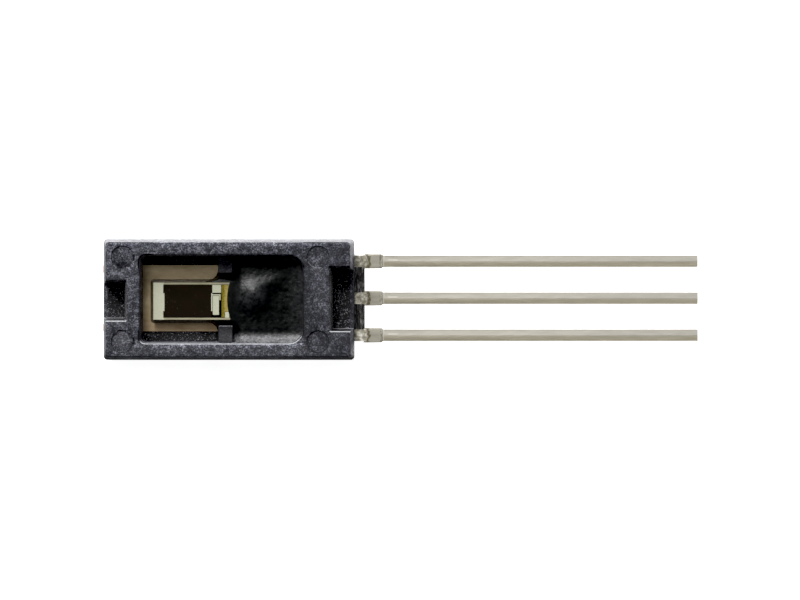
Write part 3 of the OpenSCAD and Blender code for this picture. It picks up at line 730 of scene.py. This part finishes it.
pot_low, pot_high = (Vector(c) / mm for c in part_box("potting"))
under_floor = pot_low.z  # where the resin ends, below the floor and the paddle
pad_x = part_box("bond_pads")[1][0] / mm
window_x1, window_y = pot_high.x, pot_high.y
chip_top, middle_y, half_y = chip_high.z / mm, chip_mid / mm, chip_half / mm

gate_drop, general_rise = 0.14, 0.22
gate_level = chip_top - gate_drop  # what stands between the gate posts, beside the chip
general_level = chip_top + general_rise
creep, creep_width = 0.5, 0.12  # how far the resin wets the chip's sides, out of the gate
front_run = 0.3
gate_x = pot_low.x + creep
shore_gap, shore_bow, shore_run = 0.31, 0.25, 0.5
shore_x = gate_x + shore_gap  # where the dome starts to rise
crown = (pad_x + 0.38, 0.18, 0.46, 0.46, 0.25)  # middle, half lengths and height
ridge = (pad_x + 1.00, 0.60, 0.34, 0.24, 0.05)
ridge_turn = math.radians(14)
wall_climb, wall_run = 0.22, 0.48
end_climb, end_run = 0.10, 0.7
fillet_run = 0.26
unevenness = ((0.008, 2.2, 0), (0.003, 7, 3))  # size in mm, turns per mm and depth in the noise
overhang = 0.02  # how far the resin reaches into the walls
skirt_depth, skirt_gap = 0.3, 0.01
grid_x, grid_y = 150, 140
resin_smooth_angle = math.radians(40)


def smooth(t):
    """An even rise from 0 to 1 while t goes from 0 to 1."""
    t = min(1.0, max(0.0, t))
    return t * t * (3 - 2 * t)


def mound(x, y, shape, turn=0.0):
    """The height over (x, y) of a rounded mound, turned about its own middle."""
    middle_x, middle_y, half_x, half_y, height = shape
    dx, dy = x - middle_x, y - middle_y
    across_x = dx * math.cos(turn) + dy * math.sin(turn)
    across_y = dy * math.cos(turn) - dx * math.sin(turn)
    return height * math.exp(-(across_x / half_x) ** 2 - (across_y / half_y) ** 2)


def resin_height(x, y):
    """The potting's surface, in mm: gate, crown, ridge and the climb up the walls."""
    beside = max(0.0, abs(y - middle_y) - half_y)
    front = gate_x - creep * math.exp(-beside / creep_width)
    gate = smooth((x - front) / front_run)
    fillet = (chip_top - gate_level) * max(0.0, 1 - beside / fillet_run)
    rise = smooth((x - shore_x - shore_bow * min(abs(y), half_y) ** 2) / shore_run)
    humps = mound(x, y, crown) + mound(x, y, ridge, ridge_turn)
    near_side = wall_climb * max(0.0, 1 - (window_y - abs(y)) / wall_run) ** 3
    near_end = end_climb * max(0.0, 1 - (window_x1 - x) / end_run) ** 2
    wobble = sum(size * noise.noise((x * turns, y * turns, depth)) for size, turns, depth in unevenness)
    level = under_floor + gate * (gate_level + (1 - rise) * fillet - under_floor)
    return level + rise * (general_level - gate_level + humps + near_side + near_end + wobble)


pot_x0, pot_x1 = pot_low.x - overhang, window_x1 + overhang
pot_y1 = window_y + overhang
bpy.ops.object.select_all(action="DESELECT")
bpy.ops.mesh.primitive_grid_add(x_subdivisions=grid_x, y_subdivisions=grid_y, size=2)
potting = bpy.context.object
potting.name = "potting_dome"
for point in potting.data.vertices:
    x = pot_x0 + (pot_x1 - pot_x0) * (point.co.x + 1) / 2
    y = pot_y1 * point.co.y
    point.co = Vector((x, y, resin_height(x, y))) * mm
bpy.ops.object.mode_set(mode="EDIT")
bpy.ops.mesh.select_all(action="DESELECT")
bpy.ops.mesh.select_mode(type="EDGE")
bpy.ops.mesh.select_non_manifold()
bpy.ops.mesh.extrude_region_move(TRANSFORM_OT_translate={"value": (0, 0, -skirt_depth * mm)})
bpy.ops.transform.resize(value=(1, 1, 0), center_override=(0, 0, (under_floor - skirt_gap) * mm))
bpy.ops.mesh.edge_face_add()
bpy.ops.mesh.select_all(action="SELECT")
bpy.ops.mesh.normals_make_consistent(inside=False)
bpy.ops.object.mode_set(mode="OBJECT")
bpy.ops.object.shade_smooth_by_angle(angle=resin_smooth_angle)

# Its gloss is uneven. A painted highlight lies as a haze over the crown and at the window's
# right end, and another in a ragged band along the window's lower wall, where the resin climbs it.
meniscus_start, meniscus_full, meniscus_shake = (window_y - 0.40) * mm, (window_y - 0.10) * mm, 0.3 * mm
meniscus_left, meniscus_right = (gate_x - 0.1) * mm, (gate_x + 0.9) * mm
highlight_x, highlight_y = (pad_x + 0.30) * mm, 0.20 * mm
highlight_full, highlight_end = 0.15 * mm, 0.7 * mm
end_start, end_full, end_share = (window_x1 - 0.6) * mm, (window_x1 - 0.15) * mm, 0.45
resin, resin_shader = new_finish("potting_resin", 0.38, specular=0.33)
sheen = tones(resin, grain(resin, 0.16 * mm, detail=4.0, rough=0.6),
              (0.35, (0.33, 0.33, 0.33)), (0.65, (0.5, 0.5, 0.5)))
resin.node_tree.links.new(sheen, resin_shader.inputs["Roughness"])
resin_tone = tones(resin, grain(resin, 0.3 * mm),
                   (0.3, (0.001, 0.0013, 0.0013)), (0.7, (0.003, 0.0035, 0.0035)))
painted_meniscus_highlight = tones(resin, grain(resin, 0.1 * mm, detail=5.0, rough=0.7),
                   (0.35, (0.03, 0.03, 0.032)), (0.65, (0.19, 0.19, 0.195)))
mottled = grain(resin, 0.14 * mm, detail=5.0, rough=0.7)
# painted highlight: a faint glow over the crown and at the window's right end
painted_haze_highlight = tones(resin, mottled, (0.38, (0.001, 0.001, 0.001)), (0.62, (0.034, 0.035, 0.037)))
downwards = maths(resin, "MULTIPLY", measured(resin, "Y"), -1.0)
shaken_y = maths(resin, "MULTIPLY_ADD", maths(resin, "SUBTRACT", mottled, 0.5), meniscus_shake, downwards)
on_meniscus_band = product(resin, ramp_up(resin, shaken_y, meniscus_start, meniscus_full),
                  ramp_up(resin, measured(resin, "X"), meniscus_left, meniscus_right))
from_x = maths(resin, "SUBTRACT", measured(resin, "X"), highlight_x)
from_y = maths(resin, "SUBTRACT", measured(resin, "Y"), highlight_y)
off_crown = maths(resin, "ADD", product(resin, from_x, from_x), product(resin, from_y, from_y))
off_crown = maths(resin, "POWER", off_crown, 0.5)
on_crown = outside(resin, ramp_up(resin, off_crown, highlight_full, highlight_end))
at_end = product(resin, ramp_up(resin, measured(resin, "X"), end_start, end_full), end_share)
resin_colour = blended(resin, maths(resin, "MAXIMUM", on_crown, at_end), resin_tone, painted_haze_highlight)
resin_colour = blended(resin, on_meniscus_band, resin_colour, painted_meniscus_highlight)
resin.node_tree.links.new(resin_colour, resin_shader.inputs["Base Color"])
relief(resin, resin_shader, grain(resin, 0.11 * mm, detail=4.0, rough=0.6), 0.022 * mm, 0.8)
potting.data.materials.append(resin)
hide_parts("potting")
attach(potting, "root")
